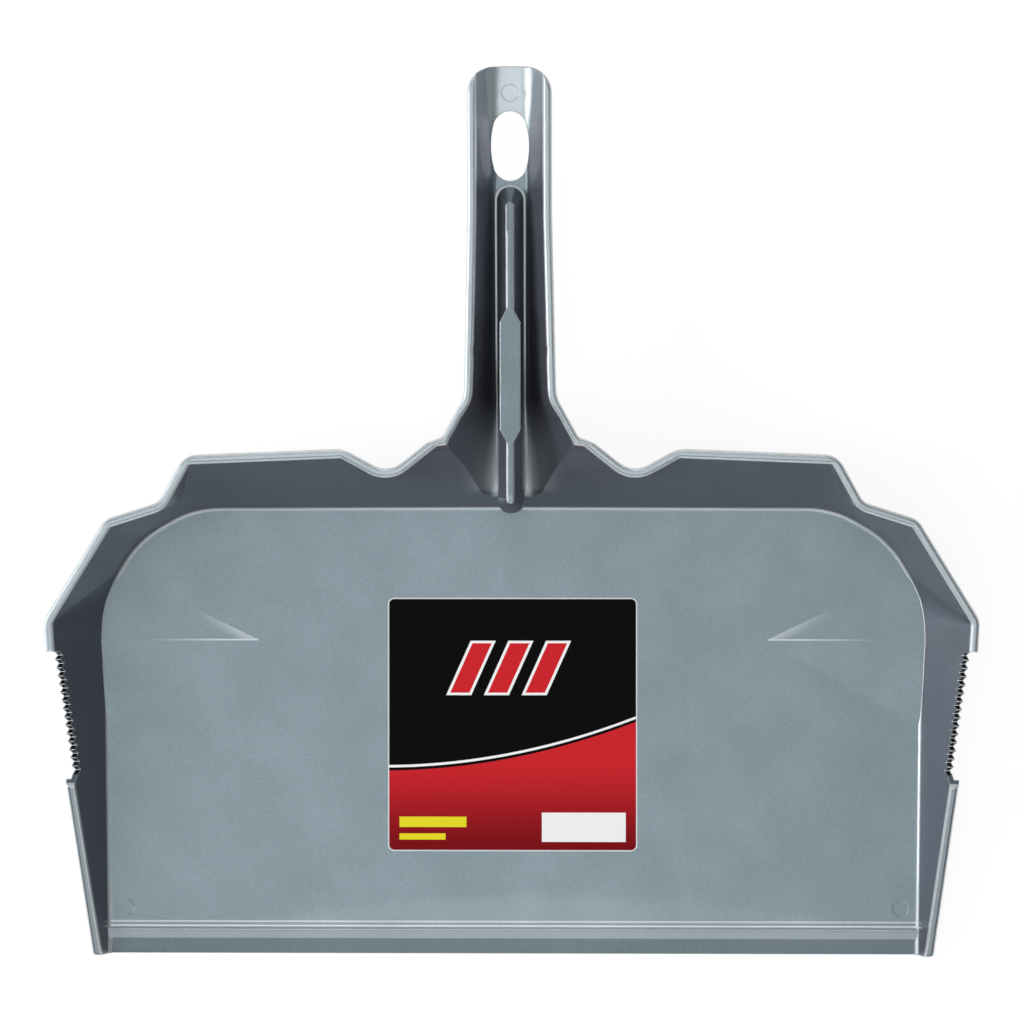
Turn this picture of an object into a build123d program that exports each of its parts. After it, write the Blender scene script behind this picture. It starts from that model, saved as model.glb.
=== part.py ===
"""Wide handheld dustpan: one moulding with a crown-shaped rim and a trough handle, and the label on its floor.

X runs across the pan, Y from its front edge towards the handle, Z up from the ground. Millimetres.
The pan is made as a mould makes it: an outer body, from which a core takes all the space inside.
"""
import os
from math import atan, cos, radians, sin, sqrt, tan

from build123d import *

os.makedirs("parts", exist_ok=True)

# Floor and walls
overall_width = 432.0
side_flare = 21.0
front_narrowing = 4.0
floor_depth = 213.0
front_inset = 0.4
corner_radius = 58.0
back_bow = 0.5
floor_thickness = 3.0
wall = 3.0
wall_lean = 20.0
foot_radius = 2.5

# Rim: a flange that stands out from the walls and runs on along the handle
rim_width = 4.2
rim_depth = 3.4
edge_round = 1.6
fold_height = 53.0
front_height = 11.0
rim_tilt = 6.5

# Rim corners, right-hand half: distance behind the back wall's foot, with the distance in from the
# widest point of the pan for those beside the corner, and out from the middle for those by the handle
fold_behind = -68.0
widest_behind = -51.5
shoulder_in, shoulder_behind = 29.0, -5.1
step_in, step_behind = 54.0, 2.8
crest_in, crest_behind = 66.2, 24.4
crest_end_half, crest_end_behind = 76.8, 27.3
dip_half, dip_behind = 56.3, 16.0
shelf_half, shelf_behind = 38.5, 30.0
throat_half, throat_behind = 31.4, 32.6
neck_half, neck_behind = 21.2, 51.0
waist_half, waist_behind = 19.3, 133.0
handle_end_half, handle_reach = 19.2, 201.8
handle_end_bow = 1.2

# Where the back wall's top edge would reach the middle, beyond the funnel that opens through it
wall_middle_behind = 37.0

# Rounding of those corners on the rim's outer edge, and the slope of the walls in the two notches
widest_round = 9.0
shoulder_round = 9.0
step_round = 7.0
crest_round = 10.0
crest_end_round = 14.0
dip_round = 11.5
shelf_round = 6.0
throat_round = 3.0
neck_round = 16.0
waist_round = 150.0
handle_end_round = 12.0
handle_end_bow_round = 100.0
side_front_round = 2.0
notch_draft = 5.0

# Ridge in the trough: upright sides under a pitched roof, cored from below, with a sword-shaped rib on it
ridge_width = 12.0
ridge_crest_width = 3.6
ridge_pitch = 62.0
ridge_end_run = 8.0
ridge_wall = 2.4
ridge_below_rim = 5.0
ridge_nose_behind = -2.2
ridge_core_behind = 9.0
rib_rise = 1.8
rib_half = 1.35
rib_foot_behind = 2.5
rib_end_gap = 21.0
blade_half = 4.75
blade_foot_behind = 36.0
blade_length = 49.0
blade_taper = 6.4

# Trough of the handle and the funnel at its root
gutter = 1.4
trough_depth = 22.0
trough_end_depth = 10.0
trough_end_bottom_half = 8.0
trough_corner = 0.8
trough_end_corner = 10.5
funnel_foot = 12.5
funnel_foot_half = 14.0
funnel_foot_corner = 9.0
funnel_foot_slope = 0.1
funnel_softness = 0.8
funnel_run = 75.0

# Oval hang hole, and the gap between it and the ridge
hang_width = 17.4
hang_length = 31.6
hang_end_radius = 7.6
hang_from_end = 37.5
hang_gap = 1.3

# Comb in the rim of each side wall
comb_rear_behind = -66.0
comb_pitch = 3.9
comb_teeth = 15
comb_depth = 5.6
tooth_depth = 3.5

# Front lip: a ramp up to a dirt stop
lip_depth = 13.0
lip_edge = 1.2
stop_rise = 1.2
stop_width = 1.2

# Stiffening darts from the side walls into the floor
dart_behind = -62.5
dart_reach = 78.0
dart_rear = 36.5
dart_front = 44.5
dart_height = 4.0

# Marks of the ejector pins: two at the front of the floor, one at the end of the handle
pin_mark_width = 7.7
pin_mark_depth = 0.15
pin_mark_in = 8.5
pin_mark_from_front = 22.5
pin_mark_from_end = 12.4

# Label
label_width = 119.0
label_length = 121.0
label_corner = 3.0
label_thickness = 0.2
label_behind = -103.0

# Margin by which tools run past the body that they shape, and a small lift that keeps faces apart
overrun = 20.0
lift = 0.02

# Counts of the steps that make up curved surfaces
foot_step_count = 4
edge_step_count = 2
funnel_step_count = 12

# Places worked out from the sizes above
overall_length = floor_depth + handle_reach
floor_width = overall_width - 2 * side_flare
front_edge = -overall_length / 2
wall_front = front_edge + front_inset
front_cut = front_edge - overrun
foot = front_edge + floor_depth
fold = foot + fold_behind
throat_y = foot + throat_behind
neck_y = foot + neck_behind
waist_y = foot + waist_behind
handle_end = foot + handle_reach
hang_behind = handle_reach - hang_from_end
ridge_top_behind = hang_behind - hang_length / 2 - hang_gap
corner_x = floor_width / 2 - corner_radius
corner_y = foot - corner_radius
tilt = radians(rim_tilt)
trough_slope = tan(tilt) + (trough_depth - trough_end_depth) / (handle_end - neck_y)
funnel_flare = (throat_half - neck_half) / (neck_behind - throat_behind)
side_rise = (fold_height - front_height) / (fold - front_edge)
side_slope = atan(side_rise)
rim_plane = Plane(origin=(0, fold, fold_height), x_dir=(1, 0, 0), z_dir=(0, -sin(tilt), cos(tilt)))
side_plane = Plane(origin=(0, fold, fold_height), x_dir=(1, 0, 0), z_dir=(0, -side_rise, 1))


def rim_level(y):
    """Height of the rear and handle rim plane at a place along the pan."""
    return fold_height + (y - fold) * tan(tilt)


side_lean = (side_flare - rim_width) / (rim_level(foot + widest_behind) - floor_thickness)


def floor_half(y):
    """Half the width of the floor between the feet of the straight side walls."""
    return floor_width / 2 - front_narrowing / 2 * (corner_y - y) / (corner_y - front_edge)


def side_rim_half(y, level):
    """Half the width over the rim of the straight side walls at a place and height."""
    return floor_half(y) + (level - floor_thickness) * side_lean + rim_width


def along_rim(behind):
    """Place on the rim plane, from the fold, of a point that lies behind the back wall's foot."""
    return (foot + behind - fold) / cos(tilt)


def both_sides(right, middle=()):
    """Closed outline, anticlockwise, from its right-hand corners and any corners on the centre line."""
    return [*right, *middle, *((-x, y, radius) for x, y, radius in reversed(right))]


def outward(start, end):
    """Unit normal to the right of the side from one corner to the next."""
    side = Vector(end[0] - start[0], end[1] - start[1]).normalized()
    return Vector(side.Y, -side.X)


def grown(corners, distance):
    """Closed outline of (x, y, radius) corners with every side moved outwards by a distance."""
    moved = []
    for before, here, after in zip(corners[-1:] + corners, corners, corners[1:] + corners[:1]):
        arriving, leaving = outward(before, here), outward(here, after)
        shift = (arriving + leaving) * (distance / (1 + arriving.dot(leaving)))
        bulge = distance if arriving.cross(leaving).Z > 0 else -distance
        moved.append((here[0] + shift.X, here[1] + shift.Y, here[2] + bulge if here[2] else 0))
    return moved


def beyond(start, through):
    """Corner on the line from one corner through another, past it by the overrun."""
    run = Vector(through[0] - start[0], through[1] - start[1]).normalized() * overrun
    return through[0] + run.X, through[1] + run.Y, 0


def outline(plane, corners):
    """Sketch of a closed outline of (x, y, radius) corners on a plane."""
    with BuildSketch(plane) as sketch:
        with BuildLine():
            FilletPolyline(
                *[(x, y) for x, y, radius in corners],
                radius=[radius for x, y, radius in corners],
                close=True,
            )
        make_face()
    return sketch.sketch


def slot(plane, middle, length, width):
    """Sketch of a round-ended slot along the pan."""
    with BuildSketch(plane) as sketch:
        with Locations((0, middle)):
            SlotOverall(length, width, rotation=90)
    return sketch.sketch


# Floor: each rear corner is three arcs with short flats between, one below each rim corner of the wall
corner_step = 30
flat_share = 0.15


def floor_corner(step):
    """One of the three corners that turn the floor's outline round a rear corner."""
    angle = radians(corner_step * (step + 0.5))
    distance = corner_radius / cos(radians(corner_step / 2))
    x = corner_x + distance * cos(angle)
    return x, corner_y + distance * sin(angle), (1 - flat_share) * corner_radius


floor_back = (crest_end_half, foot + back_bow * (1 - crest_end_half / corner_x), 0)
floor_corners = both_sides(
    [(floor_half(front_cut), front_cut, 0), *(floor_corner(step) for step in range(3)), floor_back],
    [(0, foot + back_bow, 0)],
)


def foot_outlines(level, growth, radius, steps):
    """Floor outlines stepping up a rounded foot, from flat to the slope of the walls."""
    steepest = radians(90 - wall_lean)
    start = growth - radius * tan(steepest / 2)
    angles = [steepest * step / steps for step in range(steps + 1)]
    return [
        outline(
            Plane.XY.offset(level + radius * (1 - cos(angle))),
            grown(floor_corners, start + radius * sin(angle)),
        )
        for angle in angles
    ]


# Rim corners on the rim plane: of the walls alone, then with the notches and the handle
widest = (overall_width / 2, along_rim(widest_behind), widest_round)
shoulder = (overall_width / 2 - shoulder_in, along_rim(shoulder_behind), shoulder_round)
step = (overall_width / 2 - step_in, along_rim(step_behind), step_round)
crest = (overall_width / 2 - crest_in, along_rim(crest_behind), crest_round)
crest_end = (crest_end_half, along_rim(crest_end_behind), crest_end_round)
dip = (dip_half, along_rim(dip_behind), dip_round)
shelf = (shelf_half, along_rim(shelf_behind), shelf_round)
throat = (throat_half, along_rim(throat_behind), throat_round)
neck = (neck_half, along_rim(neck_behind), neck_round)
waist = (waist_half, along_rim(waist_behind), waist_round)
end_overhang = (trough_end_depth + wall) * sin(tilt) * cos(tilt)
handle_middle = (0, along_rim(handle_reach - end_overhang), handle_end_bow_round)
handle_corner = (handle_end_half, handle_middle[1] - handle_end_bow, handle_end_round)

rim_front = (side_rim_half(front_cut, rim_level(front_cut)), along_rim(front_cut - foot), 0)
wall_bend = (*crest_end[:2], 0)
wall_middle = (0, along_rim(wall_middle_behind), 0)
wall_corners = both_sides([rim_front, widest, shoulder, crest, wall_bend], [wall_middle])
fold_corner = (side_rim_half(fold, fold_height), 0, 0)
crown_front = [beyond(widest, fold_corner), widest, shoulder, step, crest, crest_end]
crown_corners = both_sides([*crown_front, dip, shelf, throat, neck, waist, handle_corner], [handle_middle])
side_front = (side_rim_half(front_edge, front_height), (front_edge - fold) / cos(side_slope), side_front_round)
side_corners = both_sides([side_front, beyond(side_front, fold_corner)])

# Steps down the rounded edges of the rim: (level from the rim plane, distance in from the upright side)
edge_angles = (90, 60, 30, 0)
edge_steps = [
    (-edge_round * (1 - sin(radians(angle))), edge_round * (1 - cos(radians(angle))))
    for angle in edge_angles
]
rim_steps = [(level, rim_width - inset) for level, inset in edge_steps]


def rim_band(plane, corners):
    """Rim band from its outline, with a rounded outer top edge, before it is hollowed."""
    with BuildPart() as band:
        loft(
            [
                outline(plane.offset(level), grown(corners, -inset))
                for level, inset in [*edge_steps, (-rim_depth, 0)]
            ],
            ruled=True,
        )
    return band.part


def notches(steps):
    """Wedges that shape the two notches on each side of the rim, through (level, growth) steps."""
    reach = rim_level(foot)
    arm_reach = 2.5
    level, growth = steps[-1]
    foot_step = (-reach, growth + (reach + level) * tan(radians(notch_draft)))
    with BuildPart() as wedges:
        for before, here, after in ((shoulder, step, crest), (crest_end, dip, shelf)):
            arms = [
                (here[0] + (end[0] - here[0]) * arm_reach, here[1] + (end[1] - here[1]) * arm_reach, 0)
                for end in (before, after)
            ]
            loft(
                [
                    outline(rim_plane.offset(level), grown([here, *arms], growth))
                    for level, growth in [(overrun, steps[0][1]), *steps, foot_step]
                ],
                ruled=True,
            )
        mirror(about=Plane.YZ)
    return wedges.part


def handle_half(y):
    """Half the width over the rim of the handle, which narrows to its waist."""
    if y < waist_y:
        return neck_half + (waist_half - neck_half) * (y - neck_y) / (waist_y - neck_y)
    return waist_half + (handle_end_half - waist_half) * (y - waist_y) / (handle_end - waist_y)


def ahead_of(place, y):
    """Distance of a point ahead of a place, eased from zero without a corner."""
    return (place - y + sqrt((place - y) ** 2 + 4 * funnel_softness**2)) / 2


def trough_sizes(y):
    """Half width at the rim, half width at the bottom, depth and bottom corner of the trough at a place."""
    share = (y - neck_y) / (handle_end - neck_y)
    end_share = max(0, (y - waist_y) / (handle_end - waist_y))
    spread = ahead_of(neck_y, y)
    half = handle_half(y) - rim_width + funnel_flare * (spread - ahead_of(throat_y - rim_width, y))
    bottom = ridge_width / 2 + gutter
    bottom_half = bottom + (trough_end_bottom_half - bottom) * end_share
    bottom_half += (funnel_foot_half - bottom) / neck_behind * spread
    depth = trough_depth + (trough_end_depth - trough_depth) * share
    corner = trough_corner + (trough_end_corner - trough_corner) * end_share
    corner += (funnel_foot_corner - trough_corner) / neck_behind * spread
    return half, bottom_half, depth, corner


def trough_bottom(y):
    """Level of the trough's bottom: the handle's straight run, and a curve from its start down to the foot."""
    run_start = foot + funnel_run
    if y >= run_start:
        return rim_level(y) - trough_sizes(y)[2]
    run_level = rim_level(run_start) - trough_sizes(run_start)[2]
    share = (y - foot) / funnel_run
    start = (1 + 2 * share) * (1 - share) ** 2 * funnel_foot
    start += share * (1 - share) ** 2 * funnel_run * funnel_foot_slope
    end = share**2 * (3 - 2 * share) * run_level + share**2 * (share - 1) * funnel_run * trough_slope
    return start + end


def section_plane(y):
    """Upright plane across the handle."""
    return Plane(origin=(0, y, 0), x_dir=(1, 0, 0), z_dir=(0, -1, 0))


def trough_hollow(y):
    """Cross-section of the space in the trough, with the rim's rounded inner edges."""
    half, bottom_half, depth, corner = trough_sizes(y)
    outer = half + rim_width
    ledge = rim_level(y) + lift
    right = [
        (bottom_half, trough_bottom(y), corner),
        *((outer - inset, ledge + level, 0) for level, inset in reversed(rim_steps)),
        (outer, ledge, 0),
        (outer, ledge + overrun, 0),
    ]
    return outline(section_plane(y), both_sides(right))


def trough_body(y):
    """Cross-section of the handle over its walls, up to the middle of the rim's band."""
    half, bottom_half, depth, corner = trough_sizes(y)
    right = [(bottom_half, trough_bottom(y), corner), (half, rim_level(y), 0)]
    cut = grown(both_sides(right), wall)
    top = rim_level(y) - rim_depth / 2
    (low_x, low_z, low_round), (high_x, high_z, high_round) = cut[:2]
    top_x = low_x + (high_x - low_x) * (top - low_z) / (high_z - low_z)
    return outline(section_plane(y), both_sides([cut[0], (top_x, top, 0)]))


def along_trough(section):
    """Solid through a trough cross-section: a smooth funnel, then straight runs past the handle's end."""
    shares = [part / funnel_step_count for part in range(funnel_step_count + 1)]
    funnel_places = [foot + funnel_run * share for share in shares]
    with BuildPart() as solid:
        loft([section(y) for y in funnel_places])
        loft([section(y) for y in (foot + funnel_run, waist_y, handle_end + overrun)], ruled=True)
    return solid.part


def ridge_roof(inset, nose_behind):
    """Space under the ridge's pitched roof, wider than the ridge, or under one set inside it."""
    roof_reach = 1.5
    pitch = radians(ridge_pitch)
    crest_half = ridge_crest_width / 2 - inset * tan(pitch / 2)
    side_run = ridge_width / 2 - inset - crest_half
    nose, top = nose_behind + side_run, ridge_top_behind - inset - ridge_end_run
    roof_slots = []
    for share in (0, roof_reach):
        start, end = along_rim(nose - side_run * share), along_rim(top + ridge_end_run * share)
        level = -ridge_below_rim - inset - side_run * tan(pitch) * share
        width = 2 * (crest_half + side_run * share)
        roof_slots.append(slot(rim_plane.offset(level), (start + end) / 2, end - start, width))
    with BuildPart() as roof:
        loft(roof_slots, ruled=True)
        extrude(roof_slots[-1], amount=rim_level(handle_end), dir=(0, 0, -1))
    return roof.part


def ridge_body(inset, nose_behind):
    """Upright body of the ridge under its roof, or a smaller one inside it."""
    top_behind = ridge_top_behind - inset
    middle = foot + (nose_behind + top_behind) / 2
    with BuildPart() as body:
        extrude(
            slot(Plane.XY, middle, top_behind - nose_behind, ridge_width - 2 * inset),
            amount=rim_level(handle_end),
        )
        add(ridge_roof(inset, nose_behind), mode=Mode.INTERSECT)
    return body.part


# Ridge that stands in the funnel and the trough, and the rib on its crest
crest_plane = rim_plane.offset(-ridge_below_rim)
blade_top_behind = blade_foot_behind + blade_length
rib_corners = [
    (rib_half, rib_foot_behind),
    (rib_half, blade_foot_behind - blade_taper),
    (blade_half, blade_foot_behind),
    (blade_half, blade_top_behind),
    (rib_half, blade_top_behind + blade_taper),
    (rib_half, ridge_top_behind - rib_end_gap),
]
with BuildPart() as ridge:
    add(ridge_body(0, ridge_nose_behind))
    rib_right = [(half, along_rim(behind), 0) for half, behind in rib_corners]
    rib_root = blade_half * tan(radians(ridge_pitch))
    extrude(outline(crest_plane.offset(rib_rise), both_sides(rib_right)), amount=-rib_rise - rib_root)

# Darts, with their bases inside the side walls
with BuildPart() as darts:
    dart_base = floor_width / 2 + wall
    dart_sunk = floor_thickness - lift
    with BuildSketch(Plane.YZ.offset(dart_base)) as dart:
        with BuildLine():
            Polyline(
                (foot + dart_behind - dart_front, dart_sunk),
                (foot + dart_behind + dart_rear, dart_sunk),
                (foot + dart_behind, floor_thickness + dart_height),
                close=True,
            )
        make_face()
    loft([dart.sketch, Vertex(dart_base - dart_reach, foot + dart_behind, dart_sunk)])
    mirror(about=Plane.YZ)

# Core: all the space inside the pan and the handle
with BuildPart() as core:
    core_rim = [outline(rim_plane.offset(level), grown(wall_corners, -inset)) for level, inset in rim_steps]
    core_foot = foot_outlines(floor_thickness, 0, foot_radius, foot_step_count)
    loft([*core_foot, *reversed(core_rim)], ruled=True)
    extrude(core_rim[0], amount=overrun)
    add(notches(rim_steps), mode=Mode.SUBTRACT)
    add(along_trough(trough_hollow))
    add(ridge, mode=Mode.SUBTRACT)
    add(darts, mode=Mode.SUBTRACT)

# Body of the handle, before it is hollowed
with BuildPart() as handle_body:
    add(along_trough(trough_body))
    extrude(outline(rim_plane, crown_corners), amount=-rim_level(handle_end), mode=Mode.INTERSECT)

# Rim bands, before they are hollowed: round the rear and the handle, and along the sloping side walls
fold_cut = Plane.XZ.offset(-fold)
with BuildPart() as crown_rim:
    add(rim_band(rim_plane, crown_corners))
    split(bisect_by=fold_cut, keep=Keep.BOTTOM)

with BuildPart() as side_rim:
    add(rim_band(side_plane, side_corners))
    split(bisect_by=fold_cut, keep=Keep.TOP)


def comb_point(ahead, below):
    """Place ahead of the comb's rear end and below the sloping side rim there."""
    y = foot + comb_rear_behind - ahead
    return y, fold_height + (y - fold) * side_rise - below


# Outline of the notch and its teeth, seen from the side
comb_run = comb_teeth * comb_pitch
comb_points = [comb_point(0, -overrun), comb_point(0, comb_depth)]
for tooth in range(comb_teeth):
    comb_points.append(comb_point((tooth + 0.5) * comb_pitch, comb_depth + tooth_depth))
    comb_points.append(comb_point((tooth + 1) * comb_pitch, comb_depth))
comb_points.append(comb_point(comb_run + comb_depth + overrun, -overrun))

# The pan
with BuildPart() as pan:
    band_middle = -rim_depth / 2
    wall_top = grown(wall_corners, wall - rim_width + band_middle * side_lean)
    wall_foot = foot_outlines(0, wall - floor_thickness * side_lean, edge_round, edge_step_count)
    loft([*wall_foot, outline(rim_plane.offset(band_middle), wall_top)], ruled=True)
    split(bisect_by=side_plane.offset(band_middle), keep=Keep.BOTTOM)
    split(bisect_by=Plane.XZ.offset(-wall_front), keep=Keep.BOTTOM)
    add(notches([(0, rim_width - wall)]), mode=Mode.SUBTRACT)
    add(handle_body)
    add(crown_rim)
    add(side_rim)
    add(core, mode=Mode.SUBTRACT)
    # Groove that cores the ridge from below, behind the back wall
    add(ridge_body(ridge_wall, ridge_core_behind), mode=Mode.SUBTRACT)
    # Hang hole: an oval of two end arcs and two side arcs
    hang_half, hang_end = hang_width / 2, hang_length / 2
    end_centre = hang_end - hang_end_radius
    side_radius = (end_centre**2 + hang_half**2 - hang_end_radius**2) / (2 * (hang_half - hang_end_radius))
    join_share = side_radius / (side_radius - hang_end_radius)
    join_x = hang_half - side_radius + (side_radius - hang_half) * join_share
    join_y = end_centre * join_share
    hang_origin = rim_plane * Location((0, along_rim(hang_behind)))
    with BuildSketch(Plane(hang_origin)):
        with BuildLine():
            ThreePointArc((join_x, -join_y), (hang_half, 0), (join_x, join_y))
            ThreePointArc((join_x, join_y), (0, hang_end), (-join_x, join_y))
            ThreePointArc((-join_x, join_y), (-hang_half, 0), (-join_x, -join_y))
            ThreePointArc((-join_x, -join_y), (0, -hang_end), (join_x, -join_y))
        make_face()
    extrude(amount=-rim_level(handle_end) / 2, mode=Mode.SUBTRACT)
    # Combs
    with BuildSketch(Plane.YZ):
        with BuildLine():
            Polyline(*comb_points, close=True)
        make_face()
    extrude(amount=overall_width, both=True, mode=Mode.SUBTRACT)
    # Dirt stop, then the ramp of the lip up to it
    stop_back = wall_front + lip_depth
    stop_top = (stop_back - stop_width, floor_thickness + stop_rise)
    lip_rise = (stop_top[1] - lip_edge) / (stop_top[0] - wall_front)
    with BuildSketch(Plane.YZ):
        with BuildLine():
            Polyline(
                (wall_front, lip_edge / 2),
                (stop_back, lip_edge / 2),
                (stop_back, floor_thickness),
                stop_top,
                (wall_front, lip_edge),
                close=True,
            )
        make_face()
    extrude(amount=floor_half(front_edge) + wall / 2, both=True)
    with BuildSketch(Plane.YZ):
        with BuildLine():
            Polyline(
                (wall_front - wall, lip_edge - lip_rise * wall),
                stop_top,
                (wall_front - wall, stop_top[1]),
                close=True,
            )
        make_face()
    extrude(amount=floor_half(front_edge) - foot_radius / 2, both=True, mode=Mode.SUBTRACT)
    # Marks of the ejector pins
    mark_y = front_edge + pin_mark_from_front
    mark_x = floor_half(mark_y) - pin_mark_in
    with BuildSketch(Plane.XY.offset(floor_thickness - pin_mark_depth)):
        with Locations((-mark_x, mark_y), (mark_x, mark_y)):
            Circle(pin_mark_width / 2)
    extrude(amount=foot_radius, mode=Mode.SUBTRACT)
    end_mark_y = handle_end - pin_mark_from_end
    end_slope = atan(trough_slope)
    end_plane = Plane(
        origin=(0, end_mark_y, trough_bottom(end_mark_y)),
        x_dir=(1, 0, 0),
        z_dir=(0, -sin(end_slope), cos(end_slope)),
    )
    with BuildSketch(end_plane.offset(-pin_mark_depth)):
        Circle(pin_mark_width / 2)
    extrude(amount=foot_radius, mode=Mode.SUBTRACT)

pan.part.label = "pan_moulding"
export_step(pan.part, "parts/pan_moulding.step")

# The label
with BuildPart() as label:
    with BuildSketch(Plane.XY.offset(floor_thickness)):
        with Locations((0, foot + label_behind)):
            RectangleRounded(label_width, label_length, label_corner)
    extrude(amount=label_thickness)

label.part.label = "floor_label"
export_step(label.part, "parts/floor_label.step")
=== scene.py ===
"""Looks of a wide handheld dustpan: its flaked moulding, the film on its floor, and the studio.

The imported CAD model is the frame. Metres in the part's own axes: X across the pan, Y towards the
handle, Z up.
"""

import logging
import math
from dataclasses import dataclass, field
from enum import Enum

import bpy
from mathutils import Color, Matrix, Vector

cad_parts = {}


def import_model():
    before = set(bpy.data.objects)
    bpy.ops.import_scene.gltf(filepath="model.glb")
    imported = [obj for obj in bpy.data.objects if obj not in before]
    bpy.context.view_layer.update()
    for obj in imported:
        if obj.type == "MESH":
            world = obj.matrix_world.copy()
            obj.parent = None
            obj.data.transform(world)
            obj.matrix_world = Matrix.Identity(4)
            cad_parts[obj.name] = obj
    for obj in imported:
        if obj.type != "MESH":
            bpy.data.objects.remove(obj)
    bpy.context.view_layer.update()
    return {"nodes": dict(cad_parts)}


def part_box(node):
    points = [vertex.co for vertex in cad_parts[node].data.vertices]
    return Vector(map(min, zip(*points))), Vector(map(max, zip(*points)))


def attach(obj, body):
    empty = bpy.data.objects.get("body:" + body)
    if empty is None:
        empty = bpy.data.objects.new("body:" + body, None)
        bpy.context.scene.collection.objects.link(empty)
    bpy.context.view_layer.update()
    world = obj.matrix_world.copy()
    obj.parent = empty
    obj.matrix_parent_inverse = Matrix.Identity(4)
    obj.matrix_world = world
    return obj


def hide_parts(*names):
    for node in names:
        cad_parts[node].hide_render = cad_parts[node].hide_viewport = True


log = logging.getLogger("dustpan")

Socket = bpy.types.NodeSocket
Value = float | Socket
Point = tuple[float, float, float]


@dataclass(frozen=True)
class Tint:
    """A colour as it is read off a screen, each part from 0 to 255."""

    red: float
    green: float
    blue: float

    def linear(self) -> tuple[float, float, float, float]:
        """The colour in the renderer's linear scale, with full cover."""
        screen = Color((self.red / 255, self.green / 255, self.blue / 255))
        return (*screen.from_srgb_to_scene_linear(), 1.0)


@dataclass(frozen=True)
class Step:
    """A smooth step in a number.

    Attributes:
        low: Where the step starts.
        high: Where it ends.
        start: The result before the step.
        end: The result after it.
    """

    low: float
    high: float
    start: float = 0.0
    end: float = 1.0


@dataclass(frozen=True)
class Span:
    """The room between two limits."""

    low: float
    high: float

    def inset(self, border: float) -> "Span":
        """The span without a border at each end."""
        return Span(self.low + border, self.high - border)

    def moved(self, shift: float) -> "Span":
        """The span with both limits moved."""
        return Span(self.low + shift, self.high + shift)


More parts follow.
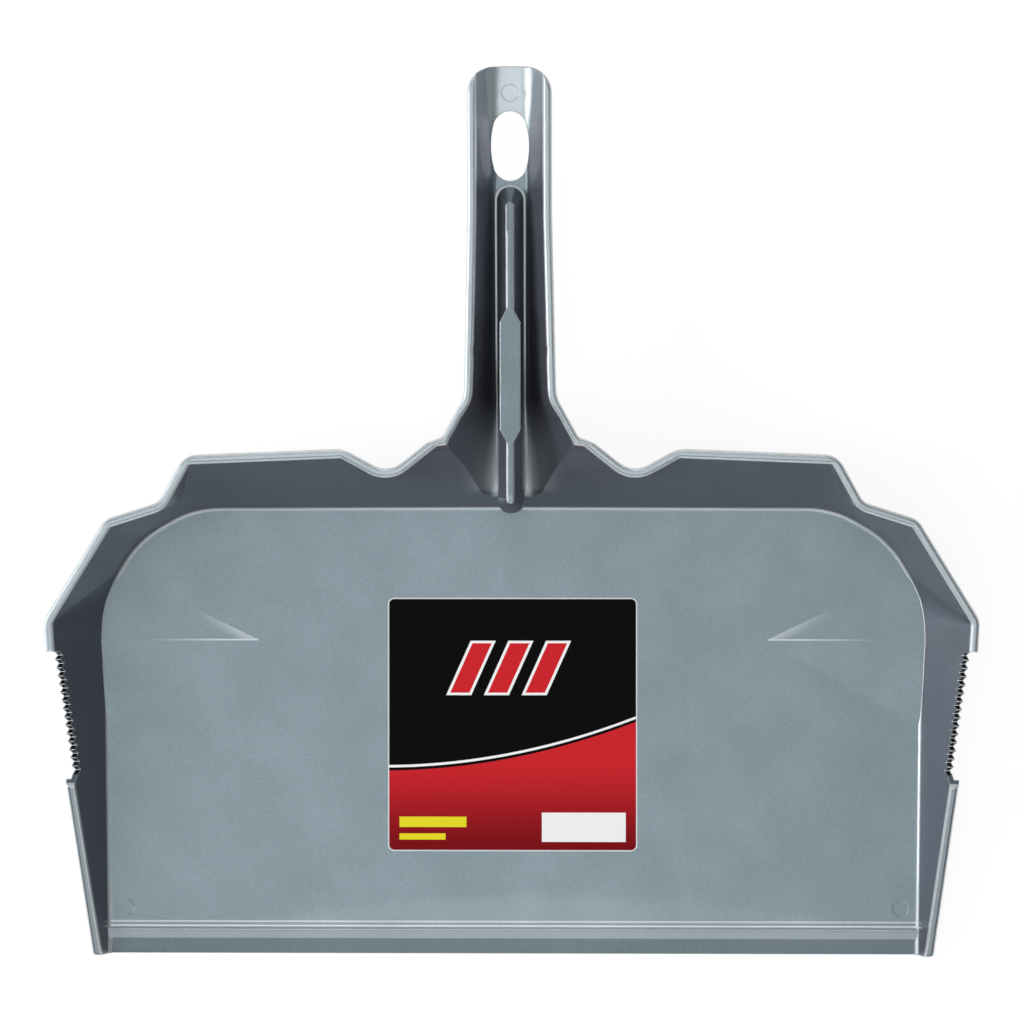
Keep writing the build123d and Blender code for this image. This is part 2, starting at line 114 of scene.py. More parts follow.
class Bench:
    """A node tree, with short calls that add and join its nodes."""

    # Places of the colour sockets on a Mix node, which has a set of sockets for each kind of data
    mix_share, mix_below, mix_above, mix_result = 0, 6, 7, 2

    def __init__(self, owner: bpy.types.Material | bpy.types.World) -> None:
        """Start an empty tree.

        Args:
            owner: The material or world that the tree belongs to.
        """
        owner.use_nodes = True
        self.owner = owner
        self.tree = owner.node_tree
        self.tree.nodes.clear()

    def add(
        self, kind: str, inputs: dict[str, object] | None = None, **settings: object
    ) -> bpy.types.Node:
        """Add a node.

        Args:
            kind: The node's type after the ShaderNode prefix.
            inputs: Sockets by name, each given a value or joined to another node's socket.
            settings: The node's own settings.

        Returns:
            The new node.
        """
        node = self.tree.nodes.new("ShaderNode" + kind)
        for name, value in settings.items():
            setattr(node, name, value)
        for name, value in (inputs or {}).items():
            self.feed(node.inputs[name], value)
        return node

    def feed(self, target: Socket, value: object) -> None:
        """Join a socket to another, or set its value.

        Args:
            target: The socket.
            value: The socket that it is joined to, or its value.
        """
        if isinstance(value, bpy.types.NodeSocket):
            self.tree.links.new(value, target)
        else:
            target.default_value = value

    def sum(self, kind: str, *values: Value) -> Socket:
        """Work out a number.

        Args:
            kind: The Math node's operation.
            values: The numbers that go into it.

        Returns:
            The socket that carries the result.
        """
        node = self.add("Math", operation=kind)
        for target, value in zip(node.inputs, values):
            self.feed(target, value)
        return node.outputs[0]

    def vectors(self, kind: str, *values: Socket) -> bpy.types.Node:
        """Work on vectors.

        Args:
            kind: The Vector Math node's operation.
            values: The vectors that go into it.

        Returns:
            The node, with the result in its Vector or Value socket.
        """
        node = self.add("VectorMath", operation=kind)
        for target, value in zip(node.inputs, values):
            self.feed(target, value)
        return node

    def agreement(self, first: Socket, second: Socket) -> Socket:
        """How far two directions agree, 1 where they are the same."""
        return self.vectors("DOT_PRODUCT", first, second).outputs["Value"]

    def parts(self, vector: Socket) -> tuple[Socket, Socket, Socket]:
        """Split a vector into its three numbers."""
        x, y, z = self.add("SeparateXYZ", {"Vector": vector}).outputs
        return x, y, z

    def ramp(self, value: Value, step: Step) -> Socket:
        """Pass a number through a smooth step.

        Args:
            value: The number.
            step: The step.

        Returns:
            The socket that carries the result.
        """
        inputs = {
            "Value": value,
            "From Min": step.low,
            "From Max": step.high,
            "To Min": step.start,
            "To Max": step.end,
        }
        return self.add("MapRange", inputs, interpolation_type="SMOOTHSTEP").outputs["Result"]

    def product(self, first: Value, *others: Value) -> Value:
        """Multiply numbers.

        Args:
            first: One number.
            others: The numbers that it is multiplied by.

        Returns:
            The socket that carries the result.
        """
        for other in others:
            first = self.sum("MULTIPLY", first, other)
        return first

    def most(self, first: Value, *others: Value) -> Value:
        """Take the largest of some numbers.

        Args:
            first: One number.
            others: The numbers that it is compared with.

        Returns:
            The socket that carries the result.
        """
        for other in others:
            first = self.sum("MAXIMUM", first, other)
        return first

    def above(self, value: Value, limit: float) -> Socket:
        """Mask of a number above a limit, 0 or 1."""
        return self.sum("GREATER_THAN", value, limit)

    def under(self, value: Value, limit: float) -> Socket:
        """Mask of a number under a limit, 0 or 1."""
        return self.sum("LESS_THAN", value, limit)

    def band(self, value: Value, span: Span) -> Socket:
        """Mask of a number inside a span, 0 or 1."""
        return self.sum("COMPARE", value, (span.low + span.high) / 2, (span.high - span.low) / 2)

    def blend(self, share: Value, below: object, above: object, kind: str = "MIX") -> Socket:
        """Lay one colour over another.

        Args:
            share: How much of the upper colour shows.
            below: The lower colour.
            above: The upper colour.
            kind: The Mix node's blend type.

        Returns:
            The socket that carries the result.
        """
        node = self.add("Mix", data_type="RGBA", blend_type=kind)
        self.feed(node.inputs[self.mix_share], share)
        self.feed(node.inputs[self.mix_below], below)
        self.feed(node.inputs[self.mix_above], above)
        return node.outputs[self.mix_result]

    def place(self, centre: Point = (0, 0, 0), scale: float = 1.0) -> Socket:
        """Coordinates of the piece itself.

        Args:
            centre: The point that becomes the origin.
            scale: What a metre becomes.

        Returns:
            The socket that carries the coordinates.
        """
        own = self.add("TexCoord").outputs["Object"]
        shift = tuple(-part * scale for part in centre)
        inputs = {"Vector": own, "Location": shift, "Scale": (scale, scale, scale)}
        return self.add("Mapping", inputs).outputs["Vector"]

    def seen(self) -> Value:
        """Mask of the rays straight from the camera, or by way of a shiny or clear surface."""
        rays = self.add("LightPath").outputs
        return self.most(*(rays[f"Is {kind} Ray"] for kind in ("Camera", "Glossy", "Transmission")))

    def material(self, shader: bpy.types.Node) -> bpy.types.Material:
        """Join a shader to the output, and hand over the material."""
        self.add("OutputMaterial", {"Surface": shader.outputs[0]})
        return self.owner


@dataclass(frozen=True)
class PanLines:
    """Where the pan's features lie.

    Attributes:
        fold: Where the rim folds, from front to rear.
        fold_level: The rim's height at the fold.
        rear_slope: How steeply the rim rises behind the fold.
        side_slope: How steeply it rises in front of the fold.
        floor_level: The height of the floor's upper face.
        ridge_half: Half the width of the ridge in the trough.
        ridge: The ridge's reach from front to rear.
        ridge_arch: Where the ridge's rear end starts to round off.
        dart_tip: How far from the middle and how far to the rear a dart's tip is.
        dart_flare: How far a dart's rear edge runs back for each metre outwards.
        comb_inner: How far from the middle the combs start.
        comb: The combs' reach from front to rear.
    """

    fold: float = -0.0624
    fold_level: float = 0.053
    rear_slope: float = math.tan(math.radians(6.5))
    side_slope: float = 0.042 / 0.145
    floor_level: float = 0.003
    ridge_half: float = 0.0070
    ridge: Span = Span(0.012, 0.152)
    ridge_arch: float = 0.147
    dart_tip: tuple[float, float] = (0.1215, -0.0569)
    dart_flare: float = 0.487
    comb_inner: float = 0.198
    comb: Span = Span(-0.1190, -0.0625)


@dataclass(frozen=True)
class Spot:
    """A point on the pan as its material sees it.

    Attributes:
        own: Its coordinates.
        across: How far it is from the pan's middle.
        along: How far it is to the rear.
        height: How far it is above the ground.
        below_rim: How far it is below the level of the rim.
        flat: The way that its face looks.
        facing: How far the face looks to the rear.
        upright: How far the face looks up.
        rounded: The way that it looks with the sharp edges rounded.
    """

    own: Socket
    across: Socket
    along: Socket
    height: Socket
    below_rim: Socket
    flat: Socket
    facing: Socket
    upright: Socket
    rounded: Socket


@dataclass(frozen=True)
class PaintedHighlights:
    """The painted highlights on the moulding, where each lies and how strongly it shows.

    Attributes:
        bench: The node tree.
        spot: The shaded point.
        lines: Where the pan's features lie.
        rays: Rays that each look at nearby faces takes.
        edge_highlight: Strength of the painted highlight by how far the face agrees with the
            rounded edge.
        mouth_across: The funnel's mouth, where edges stay plain, by distance from the middle.
        mouth_along: The mouth from front to rear.
        mouth_depth: How far below the rim the mouth starts.
        rim_start: Where the painted highlight on the rim's side face starts, below the rim.
        rim_fade: Its strength, and where it ends.
        top_rounding: Radius of the rounding that finds the borders of the rim's top.
        top_depth: How far below the rim its top still counts.
        top_upright: How far up the rim's top looks at least.
        top_highlight: Strength of the painted highlight by how far the top agrees with that
            rounding.
        foot_start: Where the painted highlight on the walls' foot starts, above the floor.
        foot_fade: Its strength, and where it ends.
        foot_turn: Leaves out faces that lie nearly flat.
        foot_upright: How far up the foot looks at least, which leaves out the walls' outside.
        end_highlight: Strength of the painted highlight towards the handle's end.
        end_depth: How far below the rim the handle's end starts.
        trough_depth: How far below the rim the trough's bottom starts.
        trough_level: How high above the ground it lies at least.
        funnel_highlight: Strength of the painted highlight in the funnel beside the ridge.
        funnel_inner: How far from the middle the funnel starts.
        funnel_outer: How far from the middle it fades out.
        funnel_start: Where the funnel starts, from front to rear.
        funnel_fade: Where it ends.
        gutter_highlight: Strength of the painted highlight beside the ridge by how far the face
            looks up.
        inner_upright: How far up faces inside the pan look at least.
        dart_level: How high the darts reach at most.
        crest: The line along a dart's crest, from its tip's place.
        crest_highlight: Strength of its painted highlight by distance from the middle.
        back_edge_highlight: Strength of the painted highlight towards a dart's rear edge.
        back_edge_end: How far from the middle that edge fades out.
        lip_level: How high the lip reaches at most.
        lip_half: How far from the middle the lip reaches.
        lip_line: The painted highlight line on the lip, from front to rear.
        lip_highlight: Its strength.
        stop_line: The painted highlight line on the dirt stop behind it.
        stop_highlight: Its strength.
    """

    bench: Bench
    spot: Spot
    lines: PanLines
    rays: int
    edge_highlight: Step = Step(0.82, 0.985, 0.8, 0.0)
    mouth_across: Span = Span(0.008, 0.04)
    mouth_along: Span = Span(0.004, 0.05)
    mouth_depth: float = 0.004
    rim_start: Step = Step(0.00003, 0.0003)
    rim_fade: Step = Step(0.0014, 0.002, 0.85, 0.0)
    top_rounding: float = 0.0016
    top_depth: float = 0.0004
    top_upright: float = 0.94
    top_highlight: Step = Step(0.9, 0.998, 0.9, 0.2)
    foot_start: Step = Step(0.00004, 0.00015)
    foot_fade: Step = Step(0.0008, 0.0015, 0.48, 0.0)
    foot_turn: Step = Step(0.95, 0.988, 1.0, 0.0)
    foot_upright: float = 0.1
    end_highlight: Step = Step(0.165, 0.19, 0.0, 0.3)
    end_depth: float = 0.001
    trough_depth: float = 0.012
    trough_level: float = 0.009
    funnel_highlight: float = 0.4
    funnel_inner: float = 0.0055
    funnel_outer: float = 0.026
    funnel_start: Step = Step(0.012, 0.016)
    funnel_fade: Step = Step(0.022, 0.06, 1.0, 0.0)
    gutter_highlight: Step = Step(0.6, 0.8, 0.0, 0.3)
    inner_upright: float = 0.3
    dart_level: float = 0.009
    crest: Span = Span(-0.0004, 0.0004)
    crest_highlight: Step = Step(0.13, 0.18, 0.3, 0.0)
    back_edge_highlight: Step = Step(-0.006, 0.0, 0.0, 0.22)
    back_edge_end: float = 0.158
    lip_level: float = 0.012
    lip_half: float = 0.1945
    lip_line: Span = Span(-0.1943, -0.1933)
    lip_highlight: float = 0.45
    stop_line: Span = Span(-0.1920, -0.1911)
    stop_highlight: float = 0.25

    def mask(self) -> Value:
        """Mask of all the painted highlights."""
        walls = (self.edges(), self.rim(), self.rim_top(), self.foot())
        return self.bench.most(*walls, self.handle_end(), self.trough(), self.darts(), self.lip())

    def edges(self) -> Value:
        """Mask of the painted highlight on the sharp edges, apart from those in the funnel's mouth.

        Returns:
            The socket that carries the mask.
        """
        bench, spot = self.bench, self.spot
        mouth = bench.product(
            bench.band(spot.across, self.mouth_across),
            bench.band(spot.along, self.mouth_along),
            bench.above(spot.below_rim, self.mouth_depth),
        )
        # painted highlight along the sharp edges, found by the rounded normal
        edge_shine = bench.ramp(bench.agreement(spot.flat, spot.rounded), self.edge_highlight)
        return bench.product(edge_shine, bench.sum("SUBTRACT", 1.0, mouth))

    def rim(self) -> Value:
        """Mask of the painted highlight on the rim's side faces, just below its top."""
        start = self.bench.ramp(self.spot.below_rim, self.rim_start)
        return self.bench.product(start, self.bench.ramp(self.spot.below_rim, self.rim_fade))

    def rim_top(self) -> Value:
        """Mask of the painted highlight on the rim's top, strongest at its borders.

        Returns:
            The socket that carries the mask.
        """
        bench, spot = self.bench, self.spot
        soft = bench.add("Bevel", {"Radius": self.top_rounding}, samples=self.rays)
        return bench.product(
            bench.under(spot.below_rim, self.top_depth),
            bench.above(spot.upright, self.top_upright),
            bench.ramp(bench.agreement(spot.flat, soft.outputs["Normal"]), self.top_highlight),
        )

    def foot(self) -> Value:
        """Mask of the painted highlight on the rounding between the floor and the walls, inside the
        pan.

        Returns:
            The socket that carries the mask.
        """
        bench, spot = self.bench, self.spot
        above_floor = bench.sum("SUBTRACT", spot.height, self.lines.floor_level)
        return bench.product(
            bench.ramp(above_floor, self.foot_start),
            bench.ramp(above_floor, self.foot_fade),
            bench.ramp(spot.upright, self.foot_turn),
            bench.above(spot.upright, self.foot_upright),
        )

    def handle_end(self) -> Value:
        """Mask of the painted highlight on the handle's end below the rim."""
        below = self.bench.above(self.spot.below_rim, self.end_depth)
        return self.bench.product(self.bench.ramp(self.spot.along, self.end_highlight), below)

    def trough(self) -> Value:
        """Mask of the painted highlights on the funnel's bottom and on the gutter round the ridge.

        Returns:
            The socket that carries the mask.
        """
        bench, spot = self.bench, self.spot
        inside = bench.product(
            bench.above(spot.below_rim, self.trough_depth),
            bench.above(spot.height, self.trough_level),
        )
        outwards = Step(self.lines.ridge_half, self.funnel_outer, self.funnel_highlight, 0.0)
        funnel = bench.product(
            inside,
            bench.ramp(spot.across, outwards),
            bench.ramp(spot.along, self.funnel_start),
            bench.ramp(spot.along, self.funnel_fade),
            bench.above(spot.across, self.funnel_inner),
        )
        past_arch = bench.most(bench.sum("SUBTRACT", spot.along, self.lines.ridge_arch), 0.0)
        squares = (bench.product(side, side) for side in (spot.across, past_arch))
        around = bench.sum("SQRT", bench.sum("ADD", *squares))
        gutter = bench.product(
            inside,
            bench.under(around, self.lines.ridge_half),
            bench.above(spot.along, self.lines.ridge.low),
            bench.ramp(spot.upright, self.gutter_highlight),
        )
        return bench.most(funnel, gutter)

    def inner_face(self, level: float) -> Value:
        """Mask of the faces inside the pan that look up and lie under a level."""
        looks_up = self.bench.above(self.spot.upright, self.inner_upright)
        return self.bench.product(looks_up, self.bench.under(self.spot.height, level))

    def darts(self) -> Value:
        """Mask of the painted highlights on the crest and on the rear edge of each dart.

        Returns:
            The socket that carries the mask.
        """
        bench, spot = self.bench, self.spot
        tip_across, tip_along = self.lines.dart_tip
        dart = bench.product(self.inner_face(self.dart_level), bench.above(spot.across, tip_across))
        crest = bench.product(
            dart,
            bench.band(spot.along, self.crest.moved(tip_along)),
            bench.ramp(spot.across, self.crest_highlight),
        )
        outwards = bench.sum("SUBTRACT", spot.across, tip_across)
        past_tip = bench.sum("SUBTRACT", spot.along, tip_along)
        past_edge = bench.sum("MULTIPLY_ADD", outwards, -self.lines.dart_flare, past_tip)
        back_edge = bench.product(
            dart,
            bench.ramp(past_edge, self.back_edge_highlight),
            bench.ramp(spot.across, Step(tip_across, self.back_edge_end, 1.0, 0.0)),
            bench.under(past_edge, 0.0),
            bench.above(past_tip, 0.0),
        )
        return bench.most(crest, back_edge)

    def lip(self) -> Value:
        """Mask of the painted highlight lines on the lip and on the dirt stop.

        Returns:
            The socket that carries the mask.
        """
        bench, spot = self.bench, self.spot
        between_walls = bench.under(spot.across, self.lip_half)
        low = bench.product(self.inner_face(self.lip_level), between_walls)
        lip = bench.product(low, bench.band(spot.along, self.lip_line), self.lip_highlight)
        stop = bench.product(low, bench.band(spot.along, self.stop_line), self.stop_highlight)
        return bench.most(lip, stop)


@dataclass(frozen=True)
class FlakedPlastic:
    """Grey polypropylene with fine metal flake under a glossy skin, with painted highlights and
    painted shade.

    Attributes:
        tint: The flake's colour.
        shade: Its colour in the clouds.
        steep: Its colour on steep faces, a painted tone for how light falls on them.
        highlight_tint: The colour of the painted highlights.
        metal: How metallic the flake is.
        roughness: The flake's roughness by how smeared the surface is.
        specular: How strongly the plastic itself shines.
        refraction: How strongly the plastic and its skin bend light.
        skin: How strongly the skin shines.
        skin_roughness: The skin's roughness.
        edge: Radius that the sharp edges seem rounded by.
        rays: Rays that each look at nearby faces takes.
        swirl: Size of the clouds.
        cloud: Share of the clear flake in the clouds.
        smear_scale: Smears in a metre.
        flake: Size of the flakes.
        sparkle_least: How bright the dullest flake is.
        sparkle_spread: How much brighter the brightest is.
        grain: Size of the skin's grain.
        grain_strength: How strongly the grain shows.
        grain_depth: How deep it is.
        hollow: How far the painted shade in hollows reaches.
        hollow_shade: Brightness of the painted shade by how open a place is.
        steepness: Share of the steep colour by how far the face looks up.
        flank_facing: How far the flanks of the comb's teeth look forwards or back at least.
        flank_shade: Brightness of the painted shade on those flanks.
        rib_upright: How far up the rib's top looks at least.
        rib_shade: Brightness of the painted shade on the rib's top.
        ease_inwards: How far inside a dart's tip its easing starts.
        ease_along: The easing's reach from the tip, from front to rear.
        ease_level: How high the eased facets reach at most.
        ease: How strongly facets are eased, by how far they look up.
        lines: Where the pan's features lie.
    """

    tint: Tint = Tint(105, 120, 127)
    shade: Tint = Tint(102, 117, 124)
    steep: Tint = Tint(118, 122, 134)
    highlight_tint: Tint = Tint(236, 242, 246)
    metal: float = 0.7
    roughness: Step = Step(0.25, 0.75, 0.38, 0.46)
    specular: float = 0.3
    refraction: float = 1.49
    skin: float = 0.5
    skin_roughness: float = 0.04
    edge: float = 0.0009
    rays: int = 8
    swirl: float = 0.07
    cloud: Step = Step(0.3, 0.7)
    smear_scale: float = 2.3 / 0.07
    flake: float = 0.0006
    sparkle_least: float = 0.92
    sparkle_spread: float = 0.16
    grain: float = 0.0011
    grain_strength: float = 0.1
    grain_depth: float = 0.0001
    hollow: float = 0.02
    hollow_shade: Step = Step(0.15, 0.7, 0.35, 1.0)
    steepness: Step = Step(0.35, 0.8, 1.0, 0.0)
    flank_facing: float = 0.35
    flank_shade: Step = Step(0.0, 1.0, 1.0, 0.15)
    rib_upright: float = 0.9
    rib_shade: Step = Step(0.0, 1.0, 1.0, 0.75)
    ease_inwards: float = 0.004
    ease_along: Span = Span(-0.05, 0.042)
    ease_level: float = 0.0085
    ease: Step = Step(0.97, 0.985, 0.0, 1.5)
    lines: PanLines = PanLines()

    def make(self) -> bpy.types.Material:
        """Build the node material.

        Returns:
            The material.
        """
        bench = Bench(bpy.data.materials.new("flaked_plastic"))
        spot = self.spot(bench)
        # pale: mask of the painted highlights, where a near-white colour is laid over the flake
        pale = PaintedHighlights(bench, spot, self.lines, self.rays).mask()
        smears = {"Vector": spot.own, "Scale": self.smear_scale, "Detail": 5.0, "Roughness": 0.6}
        smear = bench.add("TexNoise", smears).outputs["Fac"]
        grain = bench.add("TexNoise", {"Vector": spot.own, "Scale": 1 / self.grain, "Detail": 2.0})
        eased = self.eased(bench, spot)
        bumps = {
            "Height": grain.outputs["Fac"],
            "Strength": self.grain_strength,
            "Distance": self.grain_depth,
            "Normal": eased,
        }
        inputs = {
            "Base Color": bench.blend(pale, self.flaked(bench, spot), self.highlight_tint.linear()),
            "Metallic": self.metal,
            "Roughness": bench.ramp(smear, self.roughness),
            "IOR": self.refraction,
            "Specular IOR Level": self.specular,
            "Coat Weight": self.skin,
            "Coat Roughness": self.skin_roughness,
            "Coat IOR": self.refraction,
            "Normal": bench.add("Bump", bumps).outputs["Normal"],
            "Coat Normal": eased,
        }
        return bench.material(bench.add("BsdfPrincipled", inputs))

    def spot(self, bench: Bench) -> Spot:
        """Read where the shaded point lies and which way it looks.

        Args:
            bench: The node tree.

        Returns:
            The shaded point.
        """
        lines = self.lines
        own = bench.place()
        x, y, z = bench.parts(own)
        flat = bench.add("NewGeometry").outputs["True Normal"]
        _, facing, upright = bench.parts(flat)
        behind = bench.above(y, lines.fold)
        steeper = lines.rear_slope - lines.side_slope
        slope = bench.sum("MULTIPLY_ADD", behind, steeper, lines.side_slope)
        past_fold = bench.sum("SUBTRACT", y, lines.fold)
        rim_level = bench.sum("MULTIPLY_ADD", past_fold, slope, lines.fold_level)
        rounded = bench.add("Bevel", {"Radius": self.edge}, samples=self.rays).outputs["Normal"]
        return Spot(
            own=own,
            across=bench.sum("ABSOLUTE", x),
            along=y,
            height=z,
            below_rim=bench.sum("SUBTRACT", rim_level, z),
            flat=flat,
            facing=facing,
            upright=upright,
            rounded=rounded,
        )

    def eased(self, bench: Bench, spot: Spot) -> Socket:
        """Normal that eases the darts' shallow facets into the floor.

        Args:
            bench: The node tree.
            spot: The shaded point.

        Returns:
            The socket that carries the normal.
        """
        tip_across, tip_along = self.lines.dart_tip
        _, _, upright = bench.parts(spot.rounded)
        facet = bench.product(
            bench.above(spot.across, tip_across - self.ease_inwards),
            bench.band(spot.along, self.ease_along.moved(tip_along)),
            bench.under(spot.height, self.ease_level),
            bench.ramp(upright, self.ease),
        )
        lift = bench.add("CombineXYZ", {"Z": facet}).outputs["Vector"]
        total = bench.vectors("ADD", spot.rounded, lift).outputs["Vector"]
        return bench.vectors("NORMALIZE", total).outputs["Vector"]

    def flaked(self, bench: Bench, spot: Spot) -> Socket:
        """Colour of the flake: clouds from the melt's flow and a fine sparkle, with painted shade
        in hollows, on the comb teeth's flanks and on the rib's top, and a painted tone on steep
        faces.

        Args:
            bench: The node tree.
            spot: The shaded point.

        Returns:
            The socket that carries the colour.
        """
        clouds = {
            "Vector": spot.own,
            "Scale": 1 / self.swirl,
            "Detail": 4.0,
            "Roughness": 0.55,
            "Distortion": 0.8,
        }
        cloud = bench.ramp(bench.add("TexNoise", clouds).outputs["Fac"], self.cloud)
        colour = bench.blend(cloud, self.shade.linear(), self.tint.linear())
        # painted tone on steep faces, for how light falls on them
        colour = bench.blend(bench.ramp(spot.upright, self.steepness), colour, self.steep.linear())
        cells = bench.add("TexVoronoi", {"Vector": spot.own, "Scale": 1 / self.flake})
        chance = bench.add("SeparateColor", {"Color": cells.outputs["Color"]}).outputs["Red"]
        sparkle = bench.sum("MULTIPLY_ADD", chance, self.sparkle_spread, self.sparkle_least)
        # painted shade: darker where ambient occlusion finds the place closed in
        reach = {"Distance": self.hollow}
        openness = bench.add("AmbientOcclusion", reach, samples=self.rays, only_local=True)
        # painted shade on the flanks of the comb's teeth
        flanks = bench.product(
            bench.above(spot.across, self.lines.comb_inner),
            bench.band(spot.along, self.lines.comb),
            bench.above(bench.sum("ABSOLUTE", spot.facing), self.flank_facing),
        )
        # painted shade on the rib's top, which tilts away from the light
        rib = bench.product(
            bench.under(spot.across, self.lines.ridge_half),
            bench.band(spot.along, self.lines.ridge),
            bench.above(spot.upright, self.rib_upright),
        )
        level = bench.product(
            sparkle,
            bench.ramp(openness.outputs["AO"], self.hollow_shade),
            bench.ramp(flanks, self.flank_shade),
            bench.ramp(rib, self.rib_shade),
        )
        grey = bench.add("CombineColor", {"Red": level, "Green": level, "Blue": level})
        return bench.blend(1.0, colour, grey.outputs["Color"], "MULTIPLY")


class Ink(Enum):
    """The colours that the film is printed in."""

    BLACK = Tint(6, 6, 7)
    RED = Tint(203, 37, 45)
    DEEP_RED = Tint(118, 12, 20)
    WHITE = Tint(240, 240, 240)
    YELLOW = Tint(226, 214, 40)

    def linear(self) -> tuple[float, float, float, float]:
        """The ink's colour in the renderer's linear scale."""
        return self.value.linear()


@dataclass(frozen=True)
class Patch:
    """A block of the print, by its reach across and up."""

    across: Span
    up: Span

    def inset(self, side: float, end: float) -> "Patch":
        """The block inside a border."""
        return Patch(self.across.inset(side), self.up.inset(end))

    def mask(self, bench: Bench, across: Socket, up: Socket) -> Value:
        """Mask of the block on a node tree, 0 or 1."""
        return bench.product(bench.band(across, self.across), bench.band(up, self.up))


@dataclass(frozen=True)
class PrintedFilm:
    """Printed film: a black field over a red one, with slanted bars, an arc and plain panels.

    The print is drawn in millimetres from the film's middle.

    Attributes:
        middle: The film's middle, in metres.
        roughness: The print's roughness.
        gloss: How strongly it shines.
        millimetres: Millimetres in a metre.
        arc_start: How far left of the middle the arc's lowest point is.
        arc_rise: How the arc rises with the square of the distance from there.
        red_edge: The red field's upper edge, below the arc.
        arc_line: The pale line along the arc.
        red_fade: How the red field brightens upwards.
        slant: How far the slanted bars lean to the right for each millimetre up.
        slashes: The slanted bars.
        slash_sides: Width of the bars' pale border at their sides.
        slash_ends: Width of that border at their ends.
        panel: The pale panel.
        bars: The yellow bars.
    """

    middle: Point
    roughness: float = 0.3
    gloss: float = 0.02
    millimetres: float = 1000.0
    arc_start: float = 62.0
    arc_rise: float = 0.0016
    red_edge: Step = Step(-22.1, -21.9, 1.0, 0.0)
    arc_line: Span = Span(-20.6, -19.4)
    red_fade: Step = Step(-62.0, -12.0)
    slant: float = 0.45
    slashes: tuple[Patch, ...] = (
        Patch(Span(-38.0, -26.0), Span(14.0, 40.0)),
        Patch(Span(-20.0, -8.0), Span(14.0, 40.0)),
        Patch(Span(-2.0, 10.0), Span(14.0, 40.0)),
    )
    slash_sides: float = 1.4
    slash_ends: float = 1.2
    panel: Patch = Patch(Span(14.0, 54.0), Span(-56.0, -42.0))
    bars: tuple[Patch, ...] = (
        Patch(Span(-54.0, -22.0), Span(-49.0, -44.0)),
        Patch(Span(-54.0, -32.0), Span(-55.0, -52.0)),
    )

    def make(self) -> bpy.types.Material:
        """Build the node material.

        Returns:
            The material.
        """
        bench = Bench(bpy.data.materials.new("printed_film"))
        across, up, _ = bench.parts(bench.place(self.middle, self.millimetres))
        from_start = bench.sum("ADD", across, self.arc_start)
        bow = bench.product(from_start, from_start, self.arc_rise)
        over_arc = bench.sum("SUBTRACT", up, bow)
        red = bench.blend(bench.ramp(up, self.red_fade), Ink.DEEP_RED.linear(), Ink.RED.linear())
        ink = bench.blend(bench.ramp(over_arc, self.red_edge), Ink.BLACK.linear(), red)
        ink = bench.blend(bench.band(over_arc, self.arc_line), ink, Ink.WHITE.linear())
        slanted = bench.sum("MULTIPLY_ADD", up, -self.slant, across)
        for slash in self.slashes:
            core = slash.inset(self.slash_sides, self.slash_ends)
            ink = bench.blend(slash.mask(bench, slanted, up), ink, Ink.WHITE.linear())
            ink = bench.blend(core.mask(bench, slanted, up), ink, red)
        ink = bench.blend(self.panel.mask(bench, across, up), ink, Ink.WHITE.linear())
        for bar in self.bars:
            ink = bench.blend(bar.mask(bench, across, up), ink, Ink.YELLOW.linear())
        gloss = {"Roughness": self.roughness, "Specular IOR Level": self.gloss}
        return bench.material(bench.add("BsdfPrincipled", {"Base Color": ink, **gloss}))


@dataclass(frozen=True)
class PaperEdge:
    """Pale unprinted margin of the film.

    Attributes:
        tint: The paper's colour.
        fibres: Fibres in a metre.
        roughness: The paper's roughness by where its fibres lie.
    """

    tint: Tint = Tint(205, 208, 211)
    fibres: float = 2500.0
    roughness: Step = Step(0.3, 0.7, 0.3, 0.4)

    def make(self) -> bpy.types.Material:
        """Build the node material.

        Returns:
            The material.
        """
        bench = Bench(bpy.data.materials.new("film_margin"))
        fibres = {"Vector": bench.place(), "Scale": self.fibres, "Detail": 2.0}
        rough = bench.ramp(bench.add("TexNoise", fibres).outputs["Fac"], self.roughness)
        inputs = {"Base Color": self.tint.linear(), "Roughness": rough}
        return bench.material(bench.add("BsdfPrincipled", inputs))


@dataclass
class PanMoulding:
    """The one-piece pan and handle, which keeps its CAD mesh."""

    node: bpy.types.Object
    finish: FlakedPlastic = field(default_factory=FlakedPlastic)

    def dress(self) -> None:
        """Give the moulding its plastic."""
        self.node.data.materials.clear()
        self.node.data.materials.append(self.finish.make())
        log.info("%s: %d faces", self.node.name, len(self.node.data.polygons))


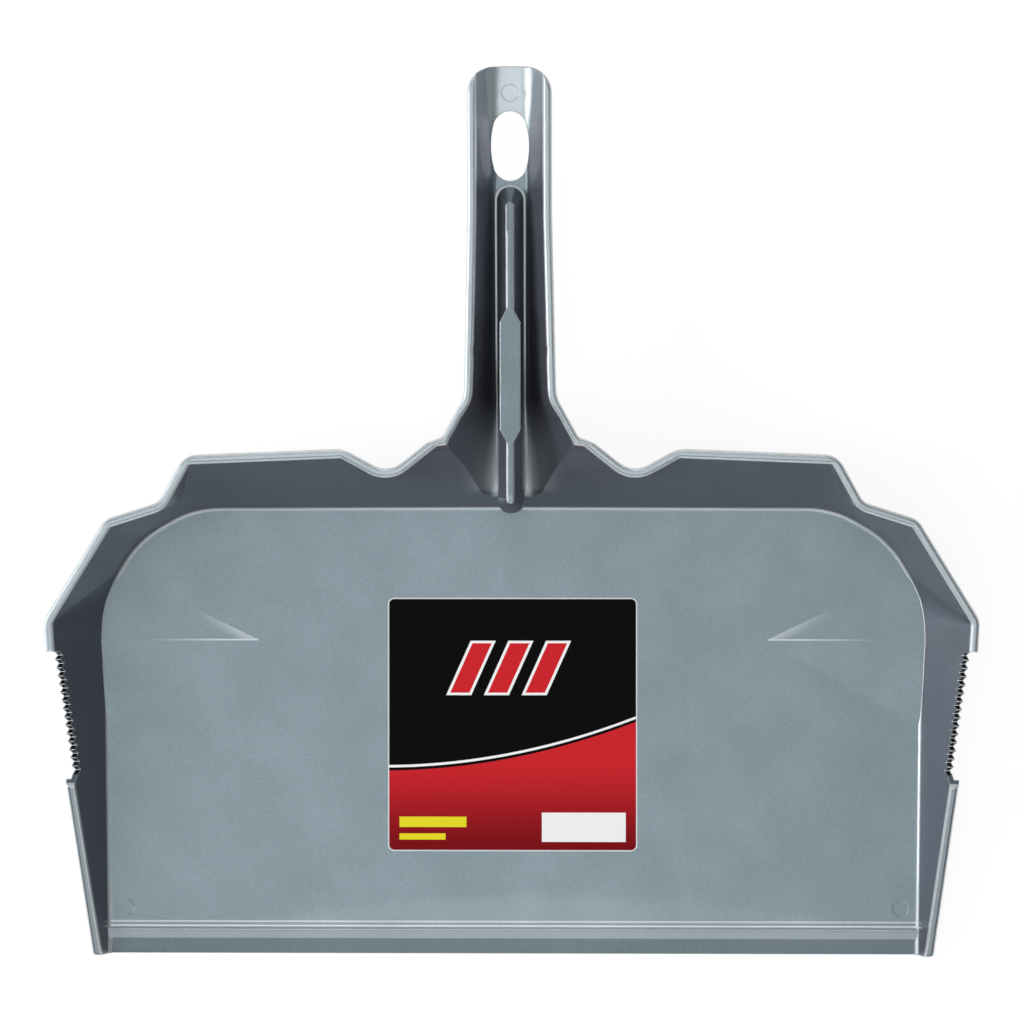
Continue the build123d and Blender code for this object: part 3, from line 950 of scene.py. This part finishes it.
@dataclass
class FloorFilm:
    """The printed film on the pan's floor, made anew in place of its plain CAD sheet.

    Attributes:
        stands_for: The CAD node that it takes the place of.
        corner: Radius of its corners.
        corner_steps: Steps in each rounded corner.
        margin: Width of its unprinted margin.
    """

    stands_for: str = "floor_label"
    corner: float = 0.003
    corner_steps: int = 8
    margin: float = 0.0006

    def build(self) -> bpy.types.Object:
        """Model the film: a sheet with rounded corners and a printed face inside its margin.

        Returns:
            The film's object.
        """
        low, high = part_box(self.stands_for)
        size = high - low
        underside = (low + high) / 2 - Vector((0, 0, size.z / 2))
        bpy.ops.object.select_all(action="DESELECT")
        bpy.ops.mesh.primitive_plane_add(size=1.0, location=underside)
        film = bpy.context.object
        film.name = "printed_film"
        film.scale = (size.x, size.y, 1.0)
        bpy.ops.object.transform_apply(location=True, rotation=True, scale=True)
        bpy.ops.object.mode_set(mode="EDIT")
        bpy.ops.mesh.select_all(action="SELECT")
        bpy.ops.mesh.bevel(offset=self.corner, segments=self.corner_steps, affect="VERTICES")
        bpy.ops.mesh.select_all(action="SELECT")
        bpy.ops.mesh.extrude_region_move(TRANSFORM_OT_translate={"value": (0, 0, size.z)})
        bpy.ops.mesh.inset(thickness=self.margin)
        bpy.ops.mesh.select_all(action="SELECT")
        bpy.ops.mesh.normals_make_consistent(inside=False)
        bpy.ops.object.mode_set(mode="OBJECT")
        return film

    def dress(self, film: bpy.types.Object) -> None:
        """Give the printed face its print and the margin its paper, and seat the film on the pan.

        Args:
            film: The film's object.
        """
        low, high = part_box(self.stands_for)
        middle = (low + high) / 2
        film.data.materials.append(PaperEdge().make())
        film.data.materials.append(PrintedFilm((middle.x, middle.y, high.z)).make())
        upper_faces = [face for face in film.data.polygons if face.normal.z > 0]
        printed_face = max(upper_faces, key=lambda face: face.area)
        printed_face.material_index = 1
        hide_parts(self.stands_for)
        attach(film, "root")
        log.info("%s: %d faces", film.name, len(film.data.polygons))


class LampFace(Enum):
    """The outline of a lamp's lit face."""

    OVAL = "ELLIPSE"
    PANEL = "RECTANGLE"


@dataclass(frozen=True)
class Lamp:
    """A soft studio lamp.

    Attributes:
        name: Its name.
        place: Where it hangs.
        width: Width of its lit face.
        depth: Depth of its lit face.
        watts: Its power.
        aim: The point that it faces.
        face: The outline of its lit face.
    """

    name: str
    place: Point
    width: float
    depth: float
    watts: float
    aim: Point = (0.0, -0.05, 0.03)
    face: LampFace = LampFace.OVAL

    def hang(self) -> None:
        """Add the lamp to the scene."""
        data = bpy.data.lights.new(self.name, "AREA")
        data.shape = self.face.value
        data.size, data.size_y = self.width, self.depth
        data.energy = self.watts
        lamp = bpy.data.objects.new(self.name, data)
        lamp.location = self.place
        way = Vector(self.aim) - Vector(self.place)
        lamp.rotation_euler = way.to_track_quat("-Z", "Y").to_euler()
        bpy.context.scene.collection.objects.link(lamp)


@dataclass
class Studio:
    """The white floor, the lamps, the surroundings and the camera above the pan.

    Attributes:
        floor_size: Length of the floor's sides.
        floor_level: Its height, a little under the pan.
        floor_glow: How white it shows to the camera.
        floor_paper: How much of the lamps' light it gives back.
        white: Colour of the floor's glow and of the room.
        room_light: Brightness of the room overhead.
        horizon_light: Brightness of its walls at the horizon.
        horizon_height: How far up the walls fade into the room.
        camera_place: Where the camera is.
        camera_turn: Its turn about each axis, in degrees.
        lens: Its focal length, in millimetres.
        sensor: Width of its sensor, in millimetres.
        lamps: The lamps.
    """

    floor_size: float = 40.0
    floor_level: float = -0.0003
    floor_glow: float = 0.9
    floor_paper: float = 0.14
    white: tuple[float, float, float, float] = (1.0, 1.0, 1.0, 1.0)
    room_light: float = 0.02
    horizon_light: float = 0.9
    horizon_height: float = 0.2
    camera_place: Point = (0.02615, 0.00914, 1.5)
    camera_turn: Point = (-0.1958, 1.0101, -0.0061)
    lens: float = 110.316
    sensor: float = 36.0
    lamps: tuple[Lamp, ...] = (
        Lamp(
            "panel", (-0.065, 0.265, 1.65), 1.07, 1.47, 11.2, (-0.065, 0.265, 0.0), LampFace.PANEL
        ),
        Lamp("oval_front", (0.0, -0.80, 1.65), 1.7, 0.86, 8.0),
        Lamp("key_left", (-1.05, -0.1, 1.6), 0.5, 0.7, 2.2),
        Lamp("side_left", (-1.5, -0.1, 1.1), 0.6, 0.9, 16.0),
        Lamp("side_right", (1.5, 0.1, 1.1), 0.6, 0.9, 1.2),
        Lamp("far_front", (0.0, -1.3, 1.5), 1.2, 0.6, 1.3),
        Lamp("low_front", (0.0, -1.7, 0.7), 0.8, 0.5, 3.0),
        Lamp("low_back", (0.0, 1.7, 0.7), 0.8, 0.5, 2.6),
    )

    def floor(self) -> None:
        """Lay the pale floor, which shows white to the camera and still takes the pan's shadow."""
        bpy.ops.object.select_all(action="DESELECT")
        bpy.ops.mesh.primitive_plane_add(size=self.floor_size, location=(0, 0, self.floor_level))
        floor = bpy.context.object
        floor.name = "studio_floor"
        bench = Bench(bpy.data.materials.new("studio_floor"))
        grey = (self.floor_paper, self.floor_paper, self.floor_paper, 1)
        paper = bench.add("BsdfDiffuse", {"Color": grey})
        light = bench.product(bench.seen(), self.floor_glow)
        glow = bench.add("Emission", {"Color": self.white, "Strength": light})
        shader = bench.add("AddShader")
        for target, layer in zip(shader.inputs, (paper, glow)):
            bench.feed(target, layer.outputs[0])
        floor.data.materials.append(bench.material(shader))

    def surroundings(self) -> None:
        """Set a dim room with white walls up to a little above the horizon."""
        world = bpy.data.worlds.new("room")
        bpy.context.scene.world = world
        bench = Bench(world)
        _, _, height = bench.parts(bench.add("TexCoord").outputs["Generated"])
        fade = Step(0.0, self.horizon_height, self.horizon_light, self.room_light)
        inputs = {"Color": self.white, "Strength": bench.ramp(height, fade)}
        light = bench.add("Background", inputs)
        bench.add("OutputWorld", {"Surface": light.outputs[0]})

    def camera(self) -> None:
        """Set the camera at the photograph's angle."""
        data = bpy.data.cameras.new("overhead")
        data.lens = self.lens
        data.sensor_width = self.sensor
        camera = bpy.data.objects.new("overhead", data)
        camera.location = self.camera_place
        camera.rotation_euler = tuple(math.radians(angle) for angle in self.camera_turn)
        bpy.context.scene.collection.objects.link(camera)
        bpy.context.scene.camera = camera

    def set_up(self) -> None:
        """Put the whole studio in place."""
        bpy.context.scene.view_settings.view_transform = "Standard"
        self.floor()
        self.surroundings()
        for lamp in self.lamps:
            lamp.hang()
        self.camera()


def main() -> None:
    """Load the frame, build and dress the pieces and set up the studio."""
    logging.basicConfig(level=logging.INFO, format="%(name)s %(message)s")
    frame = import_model()
    bpy.ops.object.select_all(action="DESELECT")
    PanMoulding(frame["nodes"]["pan_moulding"]).dress()
    film = FloorFilm()
    film.dress(film.build())
    Studio().set_up()


if __name__ == "__main__":
    main()
